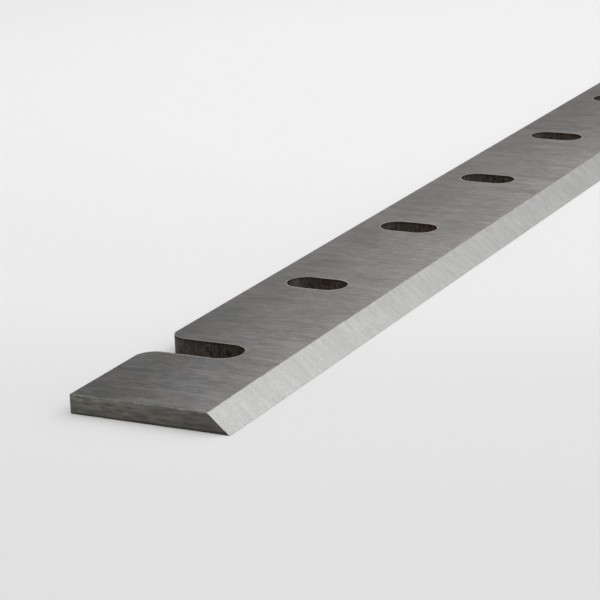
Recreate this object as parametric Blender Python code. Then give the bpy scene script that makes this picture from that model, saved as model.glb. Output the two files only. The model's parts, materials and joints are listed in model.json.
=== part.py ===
"""A slotted planer blade: a flat steel bar, ground to one long cutting edge, with a row of bolt slots.

Metres, +Z up. The bar lies flat on its seating face, at z = 0. It runs along X, with the end that has
the open slot at -X. The back edge is at +Y, and the cutting edge is at -Y, on the seating face.
The origin is under the middle of the bar.
"""

import math

import bmesh
import bpy
from mathutils import Vector

# The bar
LENGTH = 0.410
WIDTH = 0.035  # from the back edge to the cutting edge
THICKNESS = 0.004
BEVEL_ANGLE = math.radians(39)  # between the seating face and the ground bevel
EDGE_BREAK = 0.0001  # the fine chamfer left by deburring

# The slots, which run across the bar so that the blade can be set in and out
SLOT_WIDTH = 0.008
SLOT_LENGTH = 0.014  # end to end
SLOT_PITCH = 0.050
SLOT_TO_BACK = 0.0055  # from the back edge to the near end of each closed slot
FIRST_SLOT = 0.034  # from the open end to the middle of the open slot
LEAST_END_MARGIN = 0.020  # from the middle of the last slot to the plain end, at least

# The first slot, which runs out through the back edge
OPEN_SLOT_WIDTH = 0.009
OPEN_SLOT_DEPTH = 0.020  # from the back edge to its inner end
MOUTH_RADIUS = 0.0042  # of both corners of its mouth, in the back edge

ARC_STEP = math.radians(9)
WELD = 1e-6

# Places that follow from the sizes
OPEN_END_X = -LENGTH / 2
PLAIN_END_X = LENGTH / 2
BACK_Y = WIDTH / 2
CUTTING_Y = -WIDTH / 2
SLOT_INNER_Y = BACK_Y - SLOT_TO_BACK - SLOT_LENGTH
OPEN_SLOT_X = OPEN_END_X + FIRST_SLOT


def clear_scene():
    for obj in list(bpy.data.objects):
        bpy.data.objects.remove(obj, do_unlink=True)


def arc(centre_x, centre_y, radius, start, end):
    """Points of an arc, with both its ends. The angles are in degrees, counter-clockwise from +X."""
    start, end = math.radians(start), math.radians(end)
    steps = round(abs(end - start) / ARC_STEP)
    angles = [start + (end - start) * i / steps for i in range(steps + 1)]
    return [(centre_x + radius * math.cos(a), centre_y + radius * math.sin(a)) for a in angles]


def open_slot_outline():
    """The open slot's edge, from its heel on the back edge, round its inner end, to the tongue."""
    half = OPEN_SLOT_WIDTH / 2
    mouth_x = half + MOUTH_RADIUS
    mouth_y = BACK_Y - MOUTH_RADIUS
    heel = arc(OPEN_SLOT_X + mouth_x, mouth_y, MOUTH_RADIUS, 90, 180)
    inner_end = arc(OPEN_SLOT_X, BACK_Y - OPEN_SLOT_DEPTH + half, half, 0, -180)
    tongue = arc(OPEN_SLOT_X - mouth_x, mouth_y, MOUTH_RADIUS, 0, 90)
    return heel + inner_end + tongue


def blank_outline():
    """The blank seen from above, counter-clockwise, with the open slot as a notch in its back edge.

    Its front reaches past the cutting edge, with stock for the bevel to be ground from.
    """
    stock_y = CUTTING_Y - THICKNESS
    front = [(OPEN_END_X, stock_y), (PLAIN_END_X, stock_y)]
    return front + [(PLAIN_END_X, BACK_Y)] + open_slot_outline() + [(OPEN_END_X, BACK_Y)]


def closed_slot_outline(x):
    """A slot with round ends, whose middle is at this x."""
    radius = SLOT_WIDTH / 2
    inner_end = arc(x, SLOT_INNER_Y + radius, radius, 180, 360)
    outer_end = arc(x, BACK_Y - SLOT_TO_BACK - radius, radius, 0, 180)
    return inner_end + outer_end


def closed_slot_places():
    """The x of each closed slot's middle, as many as the bar has room for."""
    room = LENGTH - FIRST_SLOT - LEAST_END_MARGIN
    count = math.floor(room / SLOT_PITCH + WELD)
    return [OPEN_SLOT_X + SLOT_PITCH * (i + 1) for i in range(count)]


def add_outline(curve, points):
    """Adds a closed outline to a flat curve."""
    spline = curve.splines.new("POLY")
    spline.points.add(len(points) - 1)
    for point, (x, y) in zip(spline.points, points):
        point.co = (x, y, 0, 1)
    spline.use_cyclic_u = True


def make_blank():
    """The milled blank as a mesh: one flat outline with its slots, given its thickness and chamfers."""
    curve = bpy.data.curves.new("blank", "CURVE")
    curve.dimensions = "2D"
    curve.fill_mode = "BOTH"
    curve.extrude = THICKNESS / 2 - EDGE_BREAK
    curve.bevel_depth = EDGE_BREAK
    curve.bevel_resolution = 0
    curve.offset = -EDGE_BREAK
    add_outline(curve, blank_outline())
    for x in closed_slot_places():
        add_outline(curve, closed_slot_outline(x))

    holder = bpy.data.objects.new("blank", curve)
    bpy.context.scene.collection.objects.link(holder)
    graph = bpy.context.evaluated_depsgraph_get()
    mesh = bpy.data.meshes.new_from_object(holder.evaluated_get(graph))
    bpy.data.objects.remove(holder)
    return mesh


def grind_bevel(bm):
    """Cuts the blank along the bevel's plane, which meets the seating face at the cutting edge."""
    edge = Vector((0, CUTTING_Y, 0))
    outward = Vector((0, -math.sin(BEVEL_ANGLE), math.cos(BEVEL_ANGLE)))
    everything = bm.verts[:] + bm.edges[:] + bm.faces[:]
    cut = bmesh.ops.bisect_plane(
        bm, geom=everything, dist=WELD, plane_co=edge, plane_no=outward, clear_outer=True
    )
    rim = [e for e in cut["geom_cut"] if isinstance(e, bmesh.types.BMEdge)]
    bmesh.ops.contextual_create(bm, geom=rim)


def tool_steel():
    material = bpy.data.materials.new("ground_tool_steel")
    material.use_nodes = True
    shader = material.node_tree.nodes["Principled BSDF"]
    shader.inputs["Base Color"].default_value = (0.42, 0.41, 0.40, 1)
    shader.inputs["Metallic"].default_value = 1
    shader.inputs["Roughness"].default_value = 0.35
    return material


def make_blade(collection):
    mesh = make_blank()
    bm = bmesh.new()
    bm.from_mesh(mesh)
    bmesh.ops.remove_doubles(bm, verts=bm.verts, dist=WELD)
    bmesh.ops.translate(bm, verts=bm.verts, vec=(0, 0, THICKNESS / 2))
    grind_bevel(bm)
    bmesh.ops.recalc_face_normals(bm, faces=bm.faces)
    bm.to_mesh(mesh)
    bm.free()

    mesh.name = "blade"
    mesh.materials.clear()
    mesh.materials.append(tool_steel())
    mesh.shade_smooth()
    mesh.set_sharp_from_angle(angle=math.radians(30))
    blade = bpy.data.objects.new("blade", mesh)
    collection.objects.link(blade)
    return blade


def main():
    clear_scene()
    collection = bpy.data.collections.new("planer_blade")
    bpy.context.scene.collection.children.link(collection)
    make_blade(collection)


main()
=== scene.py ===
# %% [markdown]
# A slotted planer blade. It is one bar of tool steel, cut to length, milled with a row of slots, hardened,
# and then ground: flat on both wide faces, and at a slant along one side to give the cutting edge.
#
# Each of those steps leaves its own surface. The wide faces have fine marks across the bar, the bevel has
# a brighter and grainier finish, the cut ends are rough and brown, and the slots keep the dark scale of the
# hardening furnace. The scene makes one mesh, and gives each face the finish of the step that made it.

import json
import math

import bmesh
import bpy
from mathutils import Matrix, Vector, noise


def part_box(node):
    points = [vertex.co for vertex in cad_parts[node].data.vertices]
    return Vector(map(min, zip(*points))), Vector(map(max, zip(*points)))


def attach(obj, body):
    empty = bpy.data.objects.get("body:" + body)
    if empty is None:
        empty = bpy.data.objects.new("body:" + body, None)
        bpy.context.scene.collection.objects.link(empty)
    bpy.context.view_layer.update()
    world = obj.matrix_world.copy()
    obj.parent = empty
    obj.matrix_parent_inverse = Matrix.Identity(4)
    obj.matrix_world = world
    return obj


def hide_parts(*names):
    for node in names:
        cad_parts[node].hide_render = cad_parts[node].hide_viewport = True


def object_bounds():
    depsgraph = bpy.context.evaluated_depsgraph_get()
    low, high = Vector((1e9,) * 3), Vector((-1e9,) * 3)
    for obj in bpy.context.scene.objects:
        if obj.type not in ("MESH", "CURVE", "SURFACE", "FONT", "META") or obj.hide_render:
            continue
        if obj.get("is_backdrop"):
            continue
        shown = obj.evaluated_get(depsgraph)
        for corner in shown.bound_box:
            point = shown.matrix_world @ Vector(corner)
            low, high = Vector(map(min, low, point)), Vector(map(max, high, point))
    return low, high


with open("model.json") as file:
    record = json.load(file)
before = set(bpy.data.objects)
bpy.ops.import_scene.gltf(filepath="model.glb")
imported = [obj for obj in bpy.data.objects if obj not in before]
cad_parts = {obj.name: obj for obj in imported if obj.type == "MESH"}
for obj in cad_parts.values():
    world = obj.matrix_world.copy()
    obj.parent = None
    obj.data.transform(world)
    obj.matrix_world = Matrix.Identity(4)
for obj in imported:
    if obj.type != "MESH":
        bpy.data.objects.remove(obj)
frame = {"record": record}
frame_low, frame_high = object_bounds()
MM = 0.001
HAIR = 0.001 * MM  # points closer than this are at one place

# %% [markdown]
# The sizes of the bar come from the frame, so that the mesh always fits it. The record states an opening for
# every slot. Its box says where the slot lies along the bar, and one that runs past the back edge is the
# open slot. Only the forms that a box doesn't tell are given here as sizes.

# %% Measure the bar
bar_low, bar_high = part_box("blade")
OPEN_END_X, CUTTING_Y, SEAT_Z = bar_low
PLAIN_END_X, BACK_Y, TOP_Z = bar_high
THICKNESS = TOP_Z - SEAT_Z

BEVEL_ANGLE = math.radians(39)
BEVEL_TOP_Y = CUTTING_Y + THICKNESS / math.tan(BEVEL_ANGLE)
SLOT_WIDTH = 8 * MM
SLOT_LENGTH = 14 * MM
SLOT_TO_BACK = 5.5 * MM
OPEN_SLOT_WIDTH = 9 * MM
OPEN_SLOT_DEPTH = 20 * MM
MOUTH_RADIUS = 4.2 * MM

openings = [opening["box_m"] for opening in frame["record"]["physics"]["openings"]]
open_slot_x = [(low[0] + high[0]) / 2 for low, high in openings if high[1] > BACK_Y][0]
closed_slots_x = [(low[0] + high[0]) / 2 for low, high in openings if high[1] < BACK_Y]
print(f"Bar {(bar_high - bar_low) / MM} mm, {len(closed_slots_x)} closed slots")

# %% [markdown]
# A slotted bar is a flat outline with a thickness, so the outline is drawn first, as a pen would draw it.
# The pen is one vertex. Extruding it draws a straight line, and spinning it round a centre draws an arc.
# Arcs made this way are truly round, however fine the steps are, which hand-placed points would not be.

# %% A pen for outlines
ARC_STEP = math.radians(4)


def draw_line(bm, pen, x, y):
    """Draws a straight line from the pen to a point, and returns the pen there."""
    drawn = bmesh.ops.extrude_vert_indiv(bm, verts=[pen])
    drawn["verts"][0].co = (x, y, SEAT_Z)
    return drawn["verts"][0]


def draw_arc(bm, pen, centre_x, centre_y, turn):
    """Spins the pen round a centre by a signed angle in degrees, and returns the pen at the arc's end."""
    angle = math.radians(turn)
    drawn = bmesh.ops.spin(
        bm,
        geom=[pen],
        cent=(centre_x, centre_y, SEAT_Z),
        axis=(0, 0, 1),
        angle=angle,
        steps=round(abs(angle) / ARC_STEP),
    )
    return [part for part in drawn["geom_last"] if isinstance(part, bmesh.types.BMVert)][0]


# %% [markdown]
# The outer outline runs once round the bar. At the back it turns into the open slot: round its heel, down
# the slot, round its end and out over the tongue. The bar is drawn one thickness too wide at the front,
# because the bevel is ground from that stock.

# %% Draw the outlines
def draw_bar(bm):
    half = OPEN_SLOT_WIDTH / 2
    stock_y = CUTTING_Y - THICKNESS
    mouth_y = BACK_Y - MOUTH_RADIUS
    inner_y = BACK_Y - OPEN_SLOT_DEPTH + half
    heel_x = open_slot_x + half
    tongue_x = open_slot_x - half
    start = bm.verts.new((OPEN_END_X, stock_y, SEAT_Z))
    pen = draw_line(bm, start, PLAIN_END_X, stock_y)
    pen = draw_line(bm, pen, PLAIN_END_X, BACK_Y)
    pen = draw_line(bm, pen, heel_x + MOUTH_RADIUS, BACK_Y)
    pen = draw_arc(bm, pen, heel_x + MOUTH_RADIUS, mouth_y, 90)
    pen = draw_line(bm, pen, heel_x, inner_y)
    pen = draw_arc(bm, pen, open_slot_x, inner_y, -180)
    pen = draw_line(bm, pen, tongue_x, mouth_y)
    pen = draw_arc(bm, pen, tongue_x - MOUTH_RADIUS, mouth_y, 90)
    pen = draw_line(bm, pen, OPEN_END_X, BACK_Y)
    bm.edges.new((pen, start))


def draw_closed_slot(bm, x):
    radius = SLOT_WIDTH / 2
    outer_y = BACK_Y - SLOT_TO_BACK - radius
    inner_y = BACK_Y - SLOT_TO_BACK - SLOT_LENGTH + radius
    start = bm.verts.new((x - radius, inner_y, SEAT_Z))
    pen = draw_arc(bm, start, x, inner_y, 180)
    pen = draw_line(bm, pen, x + radius, outer_y)
    pen = draw_arc(bm, pen, x, outer_y, 180)
    bm.edges.new((pen, start))


blade_bm = bmesh.new()
draw_bar(blade_bm)
for slot_x in closed_slots_x:
    draw_closed_slot(blade_bm, slot_x)
print("Outline points:", len(blade_bm.verts))

# %% [markdown]
# Filling the outlines leaves the slots open, and one extrusion gives the bar its thickness. The bevel is
# then ground by one cut: a plane through the cutting edge, leaning back at the bevel's angle, takes off
# everything outside it, and the hole that it leaves is filled with one face.

# %% Thicken the bar and grind the bevel
CUT_WELD = 1e-7  # a cut runs through the points that are closer to it than this


def print_solid(bm):
    """Prints how many faces a mesh has, whether it is closed, and how much steel it holds."""
    open_edges = [edge for edge in bm.edges if not edge.is_manifold]
    volume = round(bm.calc_volume() / MM ** 3)
    print("Faces:", len(bm.faces), "open edges:", len(open_edges), "volume:", volume, "mm3")


bmesh.ops.triangle_fill(blade_bm, edges=blade_bm.edges, use_beauty=True, normal=(0, 0, 1))
raised = bmesh.ops.extrude_face_region(blade_bm, geom=blade_bm.faces[:], use_keep_orig=True)
raised_verts = [part for part in raised["geom"] if isinstance(part, bmesh.types.BMVert)]
bmesh.ops.translate(blade_bm, verts=raised_verts, vec=(0, 0, THICKNESS))

outward = Vector((0, -math.sin(BEVEL_ANGLE), math.cos(BEVEL_ANGLE)))
cut = bmesh.ops.bisect_plane(
    blade_bm,
    geom=blade_bm.verts[:] + blade_bm.edges[:] + blade_bm.faces[:],
    dist=CUT_WELD,
    plane_co=(0, CUTTING_Y, SEAT_Z),
    plane_no=outward,
    clear_outer=True,
)
cut_edges = [part for part in cut["geom_cut"] if isinstance(part, bmesh.types.BMEdge)]
bmesh.ops.contextual_create(blade_bm, geom=cut_edges)
bmesh.ops.recalc_face_normals(blade_bm, faces=blade_bm.faces)
print_solid(blade_bm)

# %% [markdown]
# Near the ends the wheel tips a little, and the bevel comes out a third of a millimetre narrower there. To
# bend its upper edge, it needs points: planes across the bar cut the bevel's face into strips, without taking
# anything away. The new points slide inside the top face, which stays flat.

# %% Narrow the bevel at the ends
NARROWING = 0.32 * MM
NARROWING_REACH = 11 * MM
CROSS_CUTS = [1.5, 4, 8, 13, 20, 30, 45]  # mm from each end
ARRIS_TOLERANCE = 0.01 * MM
ALONG, ACROSS = 0.99, 0.01  # the part of a normal that counts as all of it, and as none


def is_level(face):
    return abs(face.normal.z) > ALONG


def is_upright(face):
    return abs(face.normal.z) < ACROSS


def end_gap(point):
    """How far a point is from the nearer end of the bar."""
    return min(point.x - OPEN_END_X, PLAIN_END_X - point.x)


def is_in_end(point):
    return end_gap(point) < HAIR


def is_in_top(point):
    return TOP_Z - point.z < HAIR


def arris_y(point):
    """Where the bevel's upper edge runs, level with a point."""
    return BEVEL_TOP_Y - NARROWING * math.exp(-end_gap(point) / NARROWING_REACH)


for gap in CROSS_CUTS:
    for cut_x in (OPEN_END_X + gap * MM, PLAIN_END_X - gap * MM):
        strips = [face for face in blade_bm.faces if not is_level(face) and not is_upright(face)]
        strip_edges = {edge for face in strips for edge in face.edges}
        strip_verts = {vert for face in strips for vert in face.verts}
        bmesh.ops.bisect_plane(
            blade_bm,
            geom=[*strips, *strip_edges, *strip_verts],
            dist=CUT_WELD,
            plane_co=(cut_x, 0, 0),
            plane_no=(1, 0, 0),
        )
top_verts = [vert for vert in blade_bm.verts if is_in_top(vert.co)]
on_arris = [vert for vert in top_verts if abs(vert.co.y - BEVEL_TOP_Y) < ARRIS_TOLERANCE]
for vert in on_arris:
    vert.co.y = arris_y(vert.co)
print("Strips of the bevel:", len(strips) + 1, "points on its upper edge:", len(on_arris))

# %% [markdown]
# No real edge is perfectly sharp but the cutting one. A maker draws a stone along the others, so that the
# blade can be handled. The broken edge is a tenth of a millimetre wide, but it is what draws the line
# between two faces in a picture. A bevel in two segments on just those edges makes it.
#
# The ends are only sawn and ground off roughly, so their upper edge wanders. For that it needs many points,
# which a subdivision adds before the edges are broken.

# %% Break the edges
EDGE_BREAK = 0.1 * MM
END_REACH = 0.4 * MM
RAGGED_STEP = 0.35 * MM


def is_broken(edge):
    """True for an edge between faces of different kinds, but not for the cutting edge."""
    kinds = {(is_level(face), is_upright(face)) for face in edge.link_faces}
    if len(kinds) == 1:
        return False
    middle = (edge.verts[0].co + edge.verts[1].co) / 2
    return middle.y > CUTTING_Y + END_REACH or is_in_end(middle)


def is_end_top(edge):
    return all(is_in_end(vert.co) and is_in_top(vert.co) for vert in edge.verts)


end_tops = [edge for edge in blade_bm.edges if is_end_top(edge)]
cuts = round(end_tops[0].calc_length() / RAGGED_STEP)
bmesh.ops.subdivide_edges(blade_bm, edges=end_tops, cuts=cuts)
handled_edges = [edge for edge in blade_bm.edges if is_broken(edge)]
broken = bmesh.ops.bevel(
    blade_bm,
    geom=handled_edges,
    offset=EDGE_BREAK,
    offset_type="OFFSET",
    affect="EDGES",
    segments=2,
    profile=0.5,
    material=-1,
)
rim_faces = set(broken["faces"])
print("Broken edges:", len(handled_edges), "rim faces:", len(rim_faces))
print_solid(blade_bm)

# %% [markdown]
# Round the slots the stone was held almost flat, so their broken edges are wide on the face and hardly reach
# down the wall. A rim has three lines of points. The outer one slides away from the slot inside the face, the
# middle one follows it a little way, and the one on the wall slides up it. The face and the wall stay true.
# The stone is drawn along the bar, so it cuts wider along X than along Y.
#
# Near the back edge the rims of the open slot run out to nothing, and so does the slide.

# %% Lay the slot edges flat
RIM_WIDTH = 0.5 * MM
RIM_DARK_WIDTH = 0.07 * MM
RIM_DEPTH = 0.012 * MM
RIM_RUN_OUT = 1.5 * MM
RIM_WAVE = 4 * MM
RIM_WANDER = 0.6
STONE_LAY = Vector((1, 0.45, 0))
SLOT_MARGIN = 2 * MM  # no slot is nearer than this to an end or to the bevel
BACK_MARGIN = 0.01 * MM


def is_slot_edge(point):
    in_width = BEVEL_TOP_Y + SLOT_MARGIN < point.y < BACK_Y - BACK_MARGIN
    return in_width and end_gap(point) > SLOT_MARGIN


def face_level(point):
    """The height of the wide face that a rim point belongs to."""
    return TOP_Z if point.z > SEAT_Z + THICKNESS / 2 else SEAT_Z


def is_in_face(point):
    return abs(point.z - face_level(point)) < HAIR


def next_inwards(vert):
    """The rim's middle point that belongs to a point of its outer line."""
    others = [edge.other_vert(vert) for edge in vert.link_edges]
    lower = [other for other in others if other in rim_verts and abs(other.co.z - vert.co.z) > HAIR]
    return min(lower, key=lambda other: (other.co - vert.co).length)


def slide_share(point):
    """The share of the slide that a point makes. It wanders a little, and fades near the back edge."""
    return min(1, (BACK_Y - point.y) / RIM_RUN_OUT) * (1 + RIM_WANDER * noise.noise(point / RIM_WAVE))


rim_verts = {vert for face in rim_faces for vert in face.verts}
slot_rim_verts = [vert for vert in rim_verts if is_slot_edge(vert.co)]
pairs = [(vert, next_inwards(vert)) for vert in slot_rim_verts if is_in_face(vert.co)]
slides = []
for outer, middle in pairs:
    step = outer.co - middle.co
    away = Vector((step.x, step.y, 0)).normalized() * STONE_LAY * slide_share(outer.co)
    slides.append((outer, away * (RIM_WIDTH - EDGE_BREAK)))
    slides.append((middle, away * RIM_DARK_WIDTH))
for vert, slide in slides:
    vert.co += slide
for vert in slot_rim_verts:
    level = face_level(vert.co)
    vert.co.z = level + (vert.co.z - level) * RIM_DEPTH / EDGE_BREAK
print("Points on the slot edges:", len(slot_rim_verts), "of which slid outwards:", len(slides))
middle_verts = {middle for outer, middle in pairs}
print("Middle points shared by two outer ones:", len(pairs) - len(middle_verts))

# %% [markdown]
# The rim at the top of each end now gets its ragged line. Its points slide back over the wide face and down
# the end by an amount that wanders along the edge. Each point stays in the plane of its face, so the wide
# face and the end stay flat, and only the line between them changes.

# %% Roughen the top of the ends
RAGGED_BACK = 0.22 * MM
RAGGED_DOWN = 0.25 * MM
USUAL_SHARE = 0.35
WAVE_LENGTH, WAVE_SHARE = 3.1 * MM, 0.7
CHIP_LENGTH, CHIP_SHARE = 0.7 * MM, 0.6
CHIP_SEED, DOWN_SEED = 5, 8
MIDDLE_SHARE = 0.5
CORNER_MARGIN = 0.5 * MM


def wander(y, seed):
    """A value from 0 to 1 that changes along the edge, in long waves with chips on them."""
    waves = noise.noise(Vector((y / WAVE_LENGTH, seed, 0)))
    chips = noise.noise(Vector((y / CHIP_LENGTH, seed, CHIP_SEED)))
    return min(1, max(0, USUAL_SHARE + WAVE_SHARE * waves + CHIP_SHARE * chips))


moved = 0
for vert in rim_verts:
    clear_of_corners = BEVEL_TOP_Y + CORNER_MARGIN < vert.co.y < BACK_Y - CORNER_MARGIN
    if not clear_of_corners or end_gap(vert.co) > END_REACH or TOP_Z - vert.co.z > END_REACH:
        continue
    inward = 1 if vert.co.x < 0 else -1
    in_end, in_top = is_in_end(vert.co), is_in_top(vert.co)
    back = 0 if in_end else RAGGED_BACK * wander(vert.co.y, inward)
    down = 0 if in_top else RAGGED_DOWN * wander(vert.co.y, inward + DOWN_SEED)
    share = 1 if in_end or in_top else MIDDLE_SHARE
    vert.co += Vector((inward * back * share, 0, -down * share))
    moved += 1
print("Points on the ragged edges:", moved)

# %% [markdown]
# The shape is done, but some faces have points in a straight row. The strips of the bevel have dozens of them
# along the cutting edge, where the wheel cut through triangles. A program that reads the mesh divides such a
# face as it likes, often into slivers with no width. Dividing it here by the beauty method gives triangles
# that all have one.

# %% Divide the faces with points in a row
STRAIGHT = math.radians(179.9)


def has_points_in_a_row(face):
    return any(corner.calc_angle() > STRAIGHT for corner in face.loops)


in_a_row = [face for face in blade_bm.faces if face not in rim_faces and has_points_in_a_row(face)]
divided = bmesh.ops.triangulate(blade_bm, faces=in_a_row, quad_method="BEAUTY", ngon_method="BEAUTY")
print("Faces divided:", len(in_a_row), "into:", len(divided["faces"]))
print("Least area:", round(min(face.calc_area() for face in blade_bm.faces) / MM ** 2, 5), "mm2")

# %% [markdown]
# Every face now takes the finish of the step that made it. Which step that was can be read from where the
# face is and the way it points: up or down is a ground flat, along the bar is a cut end, and so on.

# %% Sort the faces into finishes
FINISHES = [
    "ground_flat",
    "ground_bevel",
    "cut_end",
    "slot_wall",
    "back_edge",
    "end_rim",
    "slot_rim",
    "painted_arris_highlight",
]
ARRIS_CLEARANCE = 0.15 * MM  # the bevel's bright edges stay this far above the seating face


def rim_finish(face, centre):
    """The finish of a broken edge: it belongs to the bevel, to an end, to the back or to a slot."""
    if centre.y < arris_y(centre) + EDGE_BREAK and centre.z > SEAT_Z + ARRIS_CLEARANCE:
        return "painted_arris_highlight"
    if end_gap(centre) < END_REACH:
        return "end_rim" if TOP_Z - centre.z < END_REACH else "cut_end"
    if BACK_Y - centre.y < EDGE_BREAK:
        return "back_edge"
    return "slot_rim" if any(is_in_face(vert.co) for vert in face.verts) else "slot_wall"


def finish_of(face):
    centre = face.calc_center_median()
    if face in rim_faces:
        return rim_finish(face, centre)
    if is_level(face):
        return "ground_flat"
    if not is_upright(face):
        return "ground_bevel"
    if abs(face.normal.x) > ALONG and end_gap(centre) < END_REACH:
        return "cut_end"
    if face.normal.y > ALONG and BACK_Y - centre.y < END_REACH:
        return "back_edge"
    return "slot_wall"


for face in blade_bm.faces:
    finish = finish_of(face)
    face.material_index = FINISHES.index(finish)
    face.smooth = finish == "slot_wall" or face in rim_faces
for edge in blade_bm.edges:
    in_rim = [face in rim_faces for face in edge.link_faces]
    edge.smooth = all(in_rim) or not any(in_rim)
indices = [face.material_index for face in blade_bm.faces]
print("Faces by finish:", {name: indices.count(i) for i, name in enumerate(FINISHES)})

# %% [markdown]
# Ground steel doesn't shine evenly. It throws light wide across its marks and narrowly along them. The
# shader has to know which way the marks run, and it takes that from a UV map. Here the map is simply the
# bar seen from above, with U along the bar.

# %% Lay the grain and make the blade
grain = blade_bm.loops.layers.uv.new("grain")
for face in blade_bm.faces:
    for corner in face.loops:
        corner[grain].uv = (corner.vert.co.x, corner.vert.co.y)

mesh = bpy.data.meshes.new("ground_blade")
blade_bm.to_mesh(mesh)
blade_bm.free()
ground_blade = bpy.data.objects.new("ground_blade", mesh)
bpy.context.scene.collection.objects.link(ground_blade)
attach(ground_blade, "root")
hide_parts("blade")
print("Triangles:", sum(len(face.vertices) - 2 for face in mesh.polygons))

# %% [markdown]
# The finishes are built from nodes, and a few short helpers keep their recipes readable. One adds a node
# with its settings and inputs. The others are the steps that come up most: a sum, a range of values that is
# stretched onto another, a noise, and a place taken apart into X, Y and Z.

# %% Helpers for node trees
def give(tree, node, name, value):
    """Gives a node's input a number, a colour, or another node's output, which is linked."""
    if isinstance(value, bpy.types.NodeSocket):
        tree.links.new(value, node.inputs[name])
    else:
        node.inputs[name].default_value = value


def add_node(tree, kind, inputs=None, **settings):
    added = tree.nodes.new(kind)
    for name, value in settings.items():
        setattr(added, name, value)
    for name, value in (inputs or {}).items():
        give(tree, added, name, value)
    return added


def calculate(tree, operation, first, second):
    return add_node(tree, "ShaderNodeMath", {0: first, 1: second}, operation=operation).outputs[0]


def stretch(tree, value, low, high, to_low=0.0, to_high=1.0):
    """Maps one range of a value onto another, and holds it at the ends."""
    inputs = {"Value": value, "From Min": low, "From Max": high, "To Min": to_low, "To Max": to_high}
    return add_node(tree, "ShaderNodeMapRange", inputs).outputs["Result"]


def add_noise(tree, place, **inputs):
    """Adds a noise of values from 0 to 1, most of which are near 0.5."""
    return add_node(tree, "ShaderNodeTexNoise", {"Vector": place, **inputs}).outputs["Fac"]


def split(tree, vector):
    """Takes a place or a direction apart. Its parts are found by their names, X, Y and Z."""
    return add_node(tree, "ShaderNodeSeparateXYZ", {0: vector}).outputs


# %% [markdown]
# Three effects come up in more than one finish, so each is a node group. The first is grinding marks. A
# cup wheel sweeps over the steel in wide arcs and leaves lines that are long one way and fine the other.
# A noise texture makes them when its coordinates are divided by a small number across the marks and by a
# large one along them. Fine marks lie over broad ones, as on the real face.

# %% Group: grinding marks
FINE_SHARE = 0.6
BROAD_SCALE = 0.21  # the broad marks are about five times as wide as the fine ones


def new_group(name, number_inputs, output):
    """Starts a group with a Position, some numbers and one output. Returns it with its inner sockets."""
    group = bpy.data.node_groups.new(name, "ShaderNodeTree")
    group.interface.new_socket("Position", in_out="INPUT", socket_type="NodeSocketVector")
    for number in number_inputs:
        group.interface.new_socket(number, in_out="INPUT", socket_type="NodeSocketFloat")
    group.interface.new_socket(output, in_out="OUTPUT", socket_type="NodeSocketFloat")
    return group, add_node(group, "NodeGroupInput").outputs, add_node(group, "NodeGroupOutput").inputs


def blend(tree, first, second, share):
    """Adds two patterns: the first by this share, and the second by what is left of one."""
    first_part = calculate(tree, "MULTIPLY", first, share)
    return calculate(tree, "ADD", first_part, calculate(tree, "MULTIPLY", second, 1 - share))


grinding_marks, given, result = new_group("grinding_marks", ["Spacing", "Length", "Swing"], "Marks")
parts = split(grinding_marks, given["Position"])
squared = calculate(grinding_marks, "MULTIPLY", parts["Y"], parts["Y"])
sag = calculate(grinding_marks, "DIVIDE", squared, given["Swing"])
swung = calculate(grinding_marks, "ADD", parts["X"], sag)
across = calculate(grinding_marks, "DIVIDE", swung, given["Spacing"])
along = calculate(grinding_marks, "DIVIDE", parts["Y"], given["Length"])
up = calculate(grinding_marks, "DIVIDE", parts["Z"], given["Length"])
swept = add_node(grinding_marks, "ShaderNodeCombineXYZ", {"X": across, "Y": along, "Z": up}).outputs[0]
fine = add_noise(grinding_marks, swept, Scale=1, Detail=4, Roughness=0.6)
broad = add_noise(grinding_marks, swept, Scale=BROAD_SCALE, Detail=2)
grinding_marks.links.new(blend(grinding_marks, fine, broad, FINE_SHARE), result["Marks"])
print("Group:", grinding_marks.name, [item.name for item in grinding_marks.interface.items_tree])

# %% [markdown]
# The second is soft patches, which steel shows wherever oil, heat or a hand has been. Their size is given
# for each direction, so the same group also draws the streaks of a sawn end and the runs of scale that hang
# down a slot's wall. The third is specks: a noise that only shows where it rises above a level.

# %% Groups: patches and specks
SPECK_EDGE = 0.07  # a speck is at full strength where its noise is this far above the level


def scale_vector(tree, vector, factor):
    """Multiplies a place or a colour by one number."""
    scaled = add_node(tree, "ShaderNodeVectorMath", {0: vector, "Scale": factor}, operation="SCALE")
    return scaled.outputs[0]


patches, given, result = new_group("patches", ["Size X", "Size Y", "Size Z"], "Patches")
sizes = add_node(patches, "ShaderNodeCombineXYZ", {axis: given[f"Size {axis}"] for axis in "XYZ"})
inputs = {0: given["Position"], 1: sizes.outputs[0]}
sized = add_node(patches, "ShaderNodeVectorMath", inputs, operation="DIVIDE")
cloud = add_noise(patches, sized.outputs[0], Scale=1, Detail=3, Roughness=0.55)
patches.links.new(cloud, result["Patches"])

specks, given, result = new_group("specks", ["Size", "Level"], "Specks")
sized = scale_vector(specks, given["Position"], calculate(specks, "DIVIDE", 1, given["Size"]))
dots = add_noise(specks, sized, Scale=1, Detail=1)
crest = calculate(specks, "ADD", given["Level"], SPECK_EDGE)
specks.links.new(stretch(specks, dots, given["Level"], crest), result["Specks"])


def use_group(tree, group, place, **numbers):
    """Places a group in a finish. Its inputs are named with underscores, and its one output is returned."""
    inputs = {name.replace("_", " "): value for name, value in numbers.items()}
    return add_node(tree, "ShaderNodeGroup", {"Position": place, **inputs}, node_tree=group).outputs[0]


print("Groups:", [group.name for group in bpy.data.node_groups])

# %% [markdown]
# A finish is a recipe: patterns, the steels that they mix, how rough the steel is, and how deep its marks
# are. Most values of a noise lie close to 0.5, so a pattern hardly shows until that narrow range is
# stretched. The contrast step does that, and a shorter reach gives a harder pattern.

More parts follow.
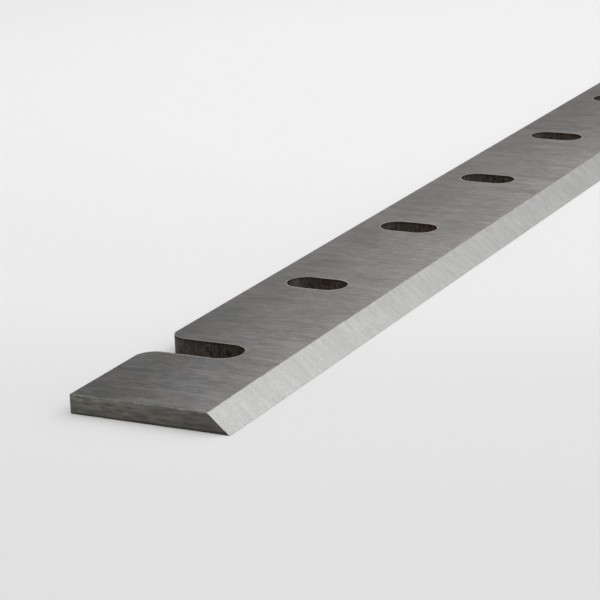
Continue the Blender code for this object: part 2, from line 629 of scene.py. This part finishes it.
# %% Helpers for finishes
def contrast(tree, pattern, reach, to_low=0.0, to_high=1.0):
    """Stretches a pattern's values round 0.5, which go as far as the reach either way, onto a range."""
    return stretch(tree, pattern, 0.5 - reach, 0.5 + reach, to_low, to_high)


def weaken(tree, mask, share):
    return calculate(tree, "MULTIPLY", mask, share)


def mix_colours(tree, mask, first, second, blend_type="MIX"):
    """Mixes two colours by a mask, where 0 is the first one."""
    inputs = {0: mask, 6: first, 7: second}
    return add_node(tree, "ShaderNodeMix", inputs, data_type="RGBA", blend_type=blend_type).outputs[2]


def tint(tree, colour, by):
    """Multiplies a colour by another one."""
    return mix_colours(tree, 1.0, colour, by, "MULTIPLY")


def ramp_colour(tree, value, stops):
    """Turns a value into a colour. A stop is a place from 0 to 1, and a grey shade or a colour."""
    added = add_node(tree, "ShaderNodeValToRGB", {"Fac": value})
    ramp = added.color_ramp
    ramp.interpolation = "EASE"
    ramp.elements.remove(ramp.elements[1])
    for i, (place_on_ramp, shade) in enumerate(stops):
        stop = ramp.elements[0] if i == 0 else ramp.elements.new(place_on_ramp)
        stop.position = place_on_ramp
        stop.color = (*shade, 1) if isinstance(shade, tuple) else (shade, shade, shade, 1)
    return added.outputs["Color"]


def new_finish(name):
    """Starts a bare metal finish, and returns its tree, its shader and its Object coordinates."""
    material = bpy.data.materials.new(name)
    material.use_nodes = True
    tree = material.node_tree
    shader = tree.nodes["Principled BSDF"]
    shader.inputs["Metallic"].default_value = 1
    return tree, shader, add_node(tree, "ShaderNodeTexCoord").outputs["Object"]


def paint(tree, shader, colour, roughness):
    """Gives the shader its colour and its roughness."""
    give(tree, shader, "Base Color", colour)
    give(tree, shader, "Roughness", roughness)


def lay_grain(tree, shader, anisotropy):
    """Spreads the shine across the grinding marks. The UV map says which way that is."""
    shader.inputs["Anisotropic"].default_value = anisotropy
    lay = add_node(tree, "ShaderNodeTangent", direction_type="UV_MAP", uv_map="grain")
    give(tree, shader, "Tangent", lay.outputs["Tangent"])


def press(tree, shader, height, depth):
    """Feeds a height from 0 to 1 to the shader's normal, as a relief of this depth in metres."""
    bump = add_node(tree, "ShaderNodeBump", {"Height": height, "Distance": depth})
    give(tree, shader, "Normal", bump.outputs["Normal"])


# %% [markdown]
# The wide faces are surface ground. They are fairly bright, and their marks run straight across the bar.
# The marks change the colour a little, the roughness a little, and the surface by a hundredth of a
# millimetre. The Anisotropic value spreads the shine along the bar, as such marks do.
#
# Long scratches lie over the marks. They are too fine for the main picture, but up close they tell a ground
# face from a cast one.
#
# The face is painted lightest next to the bevel and darker towards the back edge. That fall is painted
# shade, and a color ramp along Y gives it. Past the middle of the bar the face is painted a little
# darker too, as painted shade.

# %% Finish: ground flats
FLAT_DARK, FLAT_LIGHT = (0.437, 0.434, 0.431, 1), (0.660, 0.655, 0.650, 1)
COOL_TINT, WARM_TINT = (0.915, 0.918, 0.932, 1), (1.0, 0.985, 0.965, 1)
STAIN = (0.36, 0.35, 0.335, 1)
# The painted shade across the face, from the bevel to the back edge:
PAINTED_SHADE_ACROSS = [  # y in mm, and the brightness that is left there
    (-12.6, 1.0),
    (-9.75, 0.965),
    (-6, 0.885),
    (0, 0.835),
    (3, 0.80),
    (7, 0.73),
    (12, 0.672),
    (17.5, 0.69),
]
# Past the middle of the bar the face is painted darker, as painted shade.
FAR_HALF_FROM, FAR_HALF_TO = 0, 45 * MM
FAR_HALF_SHADE = 0.86

tree, shader, place = new_finish("ground_flat")
parts = split(tree, place)
marks = use_group(tree, grinding_marks, place, Spacing=0.4 * MM, Length=3.2 * MM, Swing=0.5)
scratches = use_group(tree, grinding_marks, place, Spacing=0.1 * MM, Length=22 * MM, Swing=0.5)
clouds = use_group(tree, patches, place, Size_X=1.3 * MM, Size_Y=2.6 * MM, Size_Z=2.6 * MM)
grit = use_group(tree, patches, place, Size_X=0.4 * MM, Size_Y=0.45 * MM, Size_Z=0.45 * MM)
tone = use_group(tree, patches, place, Size_X=9 * MM, Size_Y=12 * MM, Size_Z=12 * MM)
stain = use_group(tree, specks, place, Size=2.6 * MM, Level=0.64)

uneven = blend(tree, blend(tree, marks, clouds, share=0.7), grit, share=0.75)
streaked = mix_colours(tree, contrast(tree, uneven, reach=0.08), FLAT_DARK, FLAT_LIGHT)
toned = tint(tree, streaked, mix_colours(tree, contrast(tree, tone, reach=0.14), COOL_TINT, WARM_TINT))
stained = mix_colours(tree, weaken(tree, stain, share=0.2), toned, STAIN)
# Painted shade: the face is painted darker from the bevel towards the back edge.
from_bevel = stretch(tree, parts["Y"], BEVEL_TOP_Y, BACK_Y)
painted_shade_stops = [((y * MM - BEVEL_TOP_Y) / (BACK_Y - BEVEL_TOP_Y), left) for y, left in PAINTED_SHADE_ACROSS]
shade_painted = tint(tree, stained, ramp_colour(tree, from_bevel, painted_shade_stops))
lined = contrast(tree, scratches, reach=0.12, to_low=0.91, to_high=1.09)
# Painted shade on the far half of the bar.
far_painted_shade = stretch(tree, parts["X"], FAR_HALF_FROM, FAR_HALF_TO, 1, FAR_HALF_SHADE)
colour = scale_vector(tree, shade_painted, calculate(tree, "MULTIPLY", lined, far_painted_shade))
paint(tree, shader, colour, roughness=contrast(tree, uneven, reach=0.15, to_low=0.35, to_high=0.41))
lay_grain(tree, shader, anisotropy=0.65)
press(tree, shader, marks, depth=0.013 * MM)

# %% [markdown]
# The bevel is ground last, with a coarser and fresher wheel. It is the brightest face of the blade. Its
# marks run down the slope, short and close, with long scratches over them as on the flats. Between them the
# wheel has torn tiny dark pits.

# %% Finish: ground bevel
BEVEL_DARK, BEVEL_LIGHT = (0.408, 0.406, 0.401, 1), (0.530, 0.528, 0.523, 1)
BEVEL_TONE = (0.43, 0.43, 0.43, 1)
BEVEL_PIT = (0.26, 0.256, 0.25, 1)

tree, shader, place = new_finish("ground_bevel")
marks = use_group(tree, grinding_marks, place, Spacing=0.34 * MM, Length=0.8 * MM, Swing=4)
scratches = use_group(tree, grinding_marks, place, Spacing=0.05 * MM, Length=7 * MM, Swing=4)
tone = use_group(tree, patches, place, Size_X=6 * MM, Size_Y=6 * MM, Size_Z=6 * MM)
pits = use_group(tree, specks, place, Size=0.2 * MM, Level=0.58)

streaked = mix_colours(tree, contrast(tree, marks, reach=0.12), BEVEL_DARK, BEVEL_LIGHT)
toned = mix_colours(tree, contrast(tree, tone, reach=0.15, to_low=0, to_high=0.5), streaked, BEVEL_TONE)
pitted = mix_colours(tree, weaken(tree, pits, share=0.4), toned, BEVEL_PIT)
colour = scale_vector(tree, pitted, contrast(tree, scratches, reach=0.12, to_low=0.89, to_high=1.11))
paint(tree, shader, colour, roughness=contrast(tree, marks, reach=0.15, to_low=0.30, to_high=0.38))
lay_grain(tree, shader, anisotropy=0.3)
press(tree, shader, calculate(tree, "SUBTRACT", marks, weaken(tree, pits, share=0.5)), depth=0.02 * MM)

# %% [markdown]
# The ends were cut before hardening and only roughly dressed. They are brown and olive, with blotches drawn
# out along the cut. Patches in two sizes give the broad tone and the streaks, and specks give the grit.
# Towards the bevel the cut runs smoother and darker. Painted shade darkens the end towards its foot.

# %% Finish: cut ends
BROWN_DARK, BROWN_LIGHT = (0.112, 0.101, 0.089, 1), (0.225, 0.206, 0.184, 1)
OLIVE_DARK, OLIVE_LIGHT = (0.114, 0.111, 0.098, 1), (0.185, 0.182, 0.164, 1)
END_GRIT = (0.23, 0.215, 0.19, 1)
END_SMOOTH = (0.106, 0.104, 0.094, 1)
SMOOTH_FROM, SMOOTH_TO = 5 * MM, -13 * MM
# Painted shade up the end: its height from 0 to 1, and the brightness left there.
PAINTED_FOOT_SHADE = [(0, 0.35), (0.07, 0.5), (0.14, 0.88), (0.6, 0.95), (1, 1.0)]

tree, shader, place = new_finish("cut_end")
parts = split(tree, place)
tone = use_group(tree, patches, place, Size_X=4 * MM, Size_Y=7 * MM, Size_Z=2.5 * MM)
streaks = use_group(tree, patches, place, Size_X=1 * MM, Size_Y=3.6 * MM, Size_Z=0.75 * MM)
grit = use_group(tree, specks, place, Size=0.4 * MM, Level=0.58)

streak_mask = contrast(tree, streaks, reach=0.16)
brown = mix_colours(tree, streak_mask, BROWN_DARK, BROWN_LIGHT)
olive = mix_colours(tree, streak_mask, OLIVE_DARK, OLIVE_LIGHT)
blotched = mix_colours(tree, contrast(tree, tone, reach=0.08), brown, olive)
gritty = mix_colours(tree, weaken(tree, grit, share=0.22), blotched, END_GRIT)
smooth_mask = stretch(tree, parts["Y"], SMOOTH_FROM, SMOOTH_TO, to_high=0.7)
smoothed = mix_colours(tree, smooth_mask, gritty, END_SMOOTH)
# Painted shade: the end grows darker towards the seating face, darkest along its lowest edge.
foot_shade_paint = ramp_colour(tree, stretch(tree, parts["Z"], SEAT_Z, TOP_Z), PAINTED_FOOT_SHADE)
roughness = contrast(tree, streaks, reach=0.15, to_low=0.60, to_high=0.48)
paint(tree, shader, tint(tree, smoothed, foot_shade_paint), roughness)
press(tree, shader, calculate(tree, "ADD", streaks, weaken(tree, grit, share=0.3)), depth=0.08 * MM)

# %% [markdown]
# No wheel reaches inside the slots, so they keep the scale of the furnace, nearly black and a little brown.
# It hangs in upright runs with a flake missing here and there, and is blackest right under the face. Towards
# the back edge it is greyer. The places of those changes are read straight from Z and Y.
# A change along X makes the walls lighter past the open slot, which leaves the open slot darker.
#
# The back end of each closed slot is lighter still. It is the only wall that faces the cutting edge, so the
# surface's own direction picks it out.

# %% Finish: slot walls
SCALE_DARK, SCALE_LIGHT = (0.024, 0.0185, 0.0145, 1), (0.088, 0.070, 0.058, 1)
GREYER_DARK, GREYER_LIGHT = (0.042, 0.039, 0.036, 1), (0.082, 0.078, 0.073, 1)
GREYER_FROM, GREYER_TO = 5 * MM, 14 * MM
BACK_END_LIGHT = (0.165, 0.146, 0.130, 1)
FACING_SIDEWAYS, FACING_EDGE = -0.45, -1
FLAKE = (0.16, 0.145, 0.13, 1)
UNDER_FACE = (0.02, 0.016, 0.013, 1)
UNDER_FACE_LOW, UNDER_FACE_HIGH = TOP_Z - 0.8 * MM, TOP_Z - 0.1 * MM
LIFT_START, LIFT_FULL = open_slot_x + 10 * MM, open_slot_x + 40 * MM

tree, shader, place = new_finish("slot_wall")
parts = split(tree, place)
runs = use_group(tree, patches, place, Size_X=0.7 * MM, Size_Y=0.7 * MM, Size_Z=3 * MM)
blots = use_group(tree, patches, place, Size_X=1.6 * MM, Size_Y=1.6 * MM, Size_Z=1.2 * MM)
flakes = use_group(tree, specks, place, Size=0.6 * MM, Level=0.62)

uneven = blend(tree, runs, blots, share=0.6)
uneven_mask = contrast(tree, uneven, reach=0.12)
scale = mix_colours(tree, uneven_mask, SCALE_DARK, SCALE_LIGHT)
greyer_scale = mix_colours(tree, uneven_mask, GREYER_DARK, GREYER_LIGHT)
# The walls are greyer towards the back edge, along Y.
greyed_wall = mix_colours(tree, stretch(tree, parts["Y"], GREYER_FROM, GREYER_TO), scale, greyer_scale)
facing = split(tree, add_node(tree, "ShaderNodeNewGeometry").outputs["Normal"])["Y"]
faces_edge = stretch(tree, facing, FACING_SIDEWAYS, FACING_EDGE)
# The back ends of the closed slots are made lighter, picked by the way the surface faces.
back_end_mask = calculate(tree, "MULTIPLY", faces_edge, stretch(tree, runs, 0.3, 0.6))
marked = mix_colours(tree, back_end_mask, greyed_wall, BACK_END_LIGHT)
flaked = mix_colours(tree, weaken(tree, flakes, share=0.4), marked, FLAKE)
under_mask = stretch(tree, parts["Z"], UNDER_FACE_LOW, UNDER_FACE_HIGH, to_high=0.65)
blackened = mix_colours(tree, under_mask, flaked, UNDER_FACE)
# Past the open slot the walls are made lighter along X.
lift_along_bar = stretch(tree, parts["X"], LIFT_START, LIFT_FULL, to_low=0.98, to_high=1.3)
roughness = contrast(tree, blots, reach=0.15, to_low=0.52, to_high=0.70)
paint(tree, shader, scale_vector(tree, blackened, lift_along_bar), roughness)
press(tree, shader, uneven, depth=0.12 * MM)

# %% [markdown]
# The back edge is ground too, but along the bar, and it is rubbed by every clamp it has sat in. The group
# of grinding marks spaces its lines along X. Here they have to be spaced up the edge and run along the bar,
# so a Mapping node turns the coordinates by a right angle round Y first.

# %% Finish: back edge
BACK_DARK, BACK_LIGHT = (0.24, 0.235, 0.225, 1), (0.36, 0.355, 0.345, 1)
BACK_RUBBED = (0.22, 0.21, 0.195, 1)
RIGHT_ANGLE = math.pi / 2

tree, shader, place = new_finish("back_edge")
turned = add_node(tree, "ShaderNodeMapping", {"Vector": place, "Rotation": (0, RIGHT_ANGLE, 0)})
marks = use_group(tree, grinding_marks, turned.outputs[0], Spacing=0.22 * MM, Length=9 * MM, Swing=50)
tone = use_group(tree, patches, place, Size_X=8 * MM, Size_Y=3 * MM, Size_Z=3 * MM)
streaked = mix_colours(tree, contrast(tree, marks, reach=0.14), BACK_DARK, BACK_LIGHT)
colour = mix_colours(tree, stretch(tree, tone, 0.4, 0.75), streaked, BACK_RUBBED)
paint(tree, shader, colour, roughness=contrast(tree, tone, reach=0.15, to_low=0.36, to_high=0.48))
press(tree, shader, marks, depth=0.03 * MM)

# %% [markdown]
# The broken edges are only a few rays wide in a picture, but they draw the outline of every slot. Those
# along the top of the ends are chipped. Those round the slots are a little brown, and their light colour is
# partly the steel that the stone laid bare and partly a painted highlight. Those of the bevel carry a
# painted highlight, a bright line.

# %% Finishes: broken edges
CHIP_DARK, CHIP_LIGHT = (0.105, 0.10, 0.091, 1), (0.235, 0.227, 0.215, 1)
RIM_DULL, RIM_BRIGHT = (0.60, 0.573, 0.548, 1), (0.92, 0.885, 0.85, 1)
ARRIS_DULL, ARRIS_BRIGHT = (0.46, 0.456, 0.452, 1), (0.93, 0.925, 0.92, 1)

tree, shader, place = new_finish("end_rim")
chips = use_group(tree, patches, place, Size_X=0.9 * MM, Size_Y=0.9 * MM, Size_Z=0.9 * MM)
colour = mix_colours(tree, contrast(tree, chips, reach=0.14), CHIP_DARK, CHIP_LIGHT)
paint(tree, shader, colour, roughness=0.5)

# The slot rims' light colour is partly bared steel and partly a painted highlight.
tree, shader, place = new_finish("slot_rim")
wear_and_glint = use_group(tree, patches, place, Size_X=1.5 * MM, Size_Y=1.5 * MM, Size_Z=1.5 * MM)
colour = mix_colours(tree, contrast(tree, wear_and_glint, reach=0.15), RIM_DULL, RIM_BRIGHT)
paint(tree, shader, colour, roughness=contrast(tree, wear_and_glint, reach=0.15, to_low=0.42, to_high=0.30))

# Painted highlight: a bright line along the bevel's edges.
tree, shader, place = new_finish("painted_arris_highlight")
wear_and_glint = use_group(tree, patches, place, Size_X=2.5 * MM, Size_Y=1.5 * MM, Size_Z=1.5 * MM)
colour = mix_colours(tree, contrast(tree, wear_and_glint, reach=0.12), ARRIS_DULL, ARRIS_BRIGHT)
paint(tree, shader, colour, roughness=contrast(tree, wear_and_glint, reach=0.15, to_low=0.42, to_high=0.28))

for finish in FINISHES:
    mesh.materials.append(bpy.data.materials[finish])
print("Finishes:", [material.name for material in mesh.materials])

# %% [markdown]
# The blade lies on a plain pale surface, which is its own light source from below: the ends and the slots
# show mostly what the floor throws back at them. It sits a hair under the blade, as no board is quite flat,
# and that gap is the thin dark line along the blade's foot. The board carries a painted pool of light: it is
# painted palest beside the blade and a little greyer further out, like a table top under one soft lamp. A
# ramp over the distance from its middle gives that.

# %% Floor
FLOOR_REACH = 4
FLOOR_GAP = 0.06 * MM
FLOOR_MIDDLE = (0.10, 0.10, 0)
FLOOR_FADE = 0.8
FLOOR_SHADES = [(0.1, 0.905), (0.28, 0.87), (0.40, 0.80), (0.47, 0.78), (1, 0.75)]

floor_mesh = bpy.data.meshes.new("floor")
floor_bm = bmesh.new()
bmesh.ops.create_grid(floor_bm, x_segments=1, y_segments=1, size=FLOOR_REACH)
floor_bm.to_mesh(floor_mesh)
floor_bm.free()
floor = bpy.data.objects.new("floor", floor_mesh)
floor.location = (0, 0, SEAT_Z - FLOOR_GAP)
bpy.context.scene.collection.objects.link(floor)
floor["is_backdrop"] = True

floor_material = bpy.data.materials.new("pale_board")
floor_material.use_nodes = True
board_tree = floor_material.node_tree
board = board_tree.nodes["Principled BSDF"]
board_place = add_node(board_tree, "ShaderNodeTexCoord").outputs["Object"]
inputs = {0: board_place, 1: FLOOR_MIDDLE}
from_middle = add_node(board_tree, "ShaderNodeVectorMath", inputs, operation="DISTANCE").outputs["Value"]
# Painted pool of light: the board's colour fades from pale to grey away from its middle.
painted_light_pool = ramp_colour(board_tree, stretch(board_tree, from_middle, 0, FLOOR_FADE), FLOOR_SHADES)
paint(board_tree, board, painted_light_pool, roughness=0.8)
board.inputs["Specular IOR Level"].default_value = 0.2
floor_mesh.materials.append(floor_material)
print("Floor:", 2 * FLOOR_REACH, "m wide, with", len(FLOOR_SHADES), "shades")

# %% [markdown]
# Steel shows what is around it, so the light is set by what each face should mirror. The studio is a pale
# dome, brighter overhead. Beyond the blade and to the left stands a dark card with a soft edge. The wide
# face mirrors the edge of that card: it is darkest at its near left corner and clears towards the bevel.
#
# The world's Generated coordinates are the direction of view. Its height gives the dome, and its bearing, as
# on a compass laid on the floor with 0 along the bar, gives the card.

# %% Dome and card
CARD_FROM, CARD_TO = -10, 70
CARD_SHADES = [
    (-10, (0.95, 0.95, 0.95)),
    (10, (0.42, 0.407, 0.388)),
    (19, (0.34, 0.327, 0.305)),
    (22.5, (0.52, 0.498, 0.467)),
    (24.8, (0.60, 0.576, 0.543)),
    (26.4, (0.86, 0.826, 0.779)),
    (28.0, (0.46, 0.452, 0.445)),
    (29.8, (0.46, 0.465, 0.474)),
    (30.9, (0.10, 0.102, 0.105)),
    (32.2, (0.0, 0.0, 0.0)),
    (46, (0.0, 0.0, 0.0)),
    (55, (0.50, 0.50, 0.50)),
    (70, (0.95, 0.95, 0.95)),
]
CARD_TOP_LOW, CARD_TOP_HIGH = 0.70, 0.97
DOME_SHADES = [(0, 0.62), (0.35, 0.66), (0.5, 0.79), (0.8, 1.26), (1, 1.32)]
WHITE = (1, 1, 1, 1)

world = bpy.data.worlds.new("studio")
world.use_nodes = True
sky = world.node_tree
direction = split(sky, add_node(sky, "ShaderNodeTexCoord").outputs["Generated"])
bearing = calculate(sky, "ARCTAN2", direction["Y"], direction["X"])
along_card = stretch(sky, bearing, math.radians(CARD_FROM), math.radians(CARD_TO))
card_stops = [((angle - CARD_FROM) / (CARD_TO - CARD_FROM), shade) for angle, shade in CARD_SHADES]
card = ramp_colour(sky, along_card, card_stops)
dome = ramp_colour(sky, direction["Z"], DOME_SHADES)
above_card = stretch(sky, direction["Z"], CARD_TOP_LOW, CARD_TOP_HIGH)
shaded = mix_colours(sky, above_card, card, WHITE)
background = sky.nodes["Background"]
give(sky, background, "Color", tint(sky, shaded, dome))
background.inputs["Strength"].default_value = 1
bpy.context.scene.world = world
bpy.context.scene.view_settings.view_transform = "Standard"
print("Card:", len(CARD_SHADES), "shades, dome:", len(DOME_SHADES), "shades")

# %% [markdown]
# A soft box stands on the bevel's side, past the middle of the bar. It is close, so the near part of the
# bevel mirrors it and the far part doesn't, which gives the bevel its fall in brightness along the bar. A
# dome alone can't do that, because it is equally far from every point. The lamp's power follows from the
# brightness wanted and its size.

# %% Soft box
BOX_SIZE = (0.45, 0.35)
BOX_PLACE = Vector((0.45, -0.36, 0.52))
BOX_AIM = Vector((-0.2, 0, 0))
BOX_BRIGHTNESS = 1.1

box_light = bpy.data.lights.new("soft_box", "AREA")
box_light.shape = "RECTANGLE"
box_light.size, box_light.size_y = BOX_SIZE
box_light.energy = BOX_BRIGHTNESS * math.pi * BOX_SIZE[0] * BOX_SIZE[1]
soft_box = bpy.data.objects.new("soft_box", box_light)
box_turn = (BOX_PLACE - BOX_AIM).to_track_quat("Z", "Y").to_matrix().to_4x4()
soft_box.matrix_world = Matrix.Translation(BOX_PLACE) @ box_turn
soft_box.visible_camera = False
bpy.context.scene.collection.objects.link(soft_box)
print("Soft box power:", round(box_light.energy, 2), "W")

# %% [markdown]
# The camera looks along the bar from above its open end. Its place and direction were worked out from the
# bar's edges, which run to their vanishing points, and from the slots, whose true spacing is known.

# %% Camera
LENS, SENSOR = 144.79, 36
CAMERA_PLACE = Vector((-0.5789, -0.22326, 0.15574))
HEADING = math.radians(26.936)
TILT = math.radians(16.898)
ROLL = math.radians(-2.051)

camera_data = bpy.data.cameras.new("camera")
camera_data.lens = LENS
camera_data.sensor_width = SENSOR
camera = bpy.data.objects.new("camera", camera_data)
turn = Matrix.Rotation(HEADING - RIGHT_ANGLE, 4, "Z")
tip = Matrix.Rotation(RIGHT_ANGLE - TILT, 4, "X")
lean = Matrix.Rotation(ROLL, 4, "Z")
camera.matrix_world = Matrix.Translation(CAMERA_PLACE) @ turn @ tip @ lean
bpy.context.scene.collection.objects.link(camera)
bpy.context.scene.camera = camera
print("Camera:", [round(value, 3) for value in camera.matrix_world.translation])

# %% [markdown]
# Last, the script notes the size of the frame and of the finished blade, which have to agree.

# %% Sizes, and the end
visual_low, visual_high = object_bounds()
sizes = {
    "frame": [list(frame_low), list(frame_high)],
    "visual": [list(visual_low), list(visual_high)],
}
print("Sizes:", sizes)
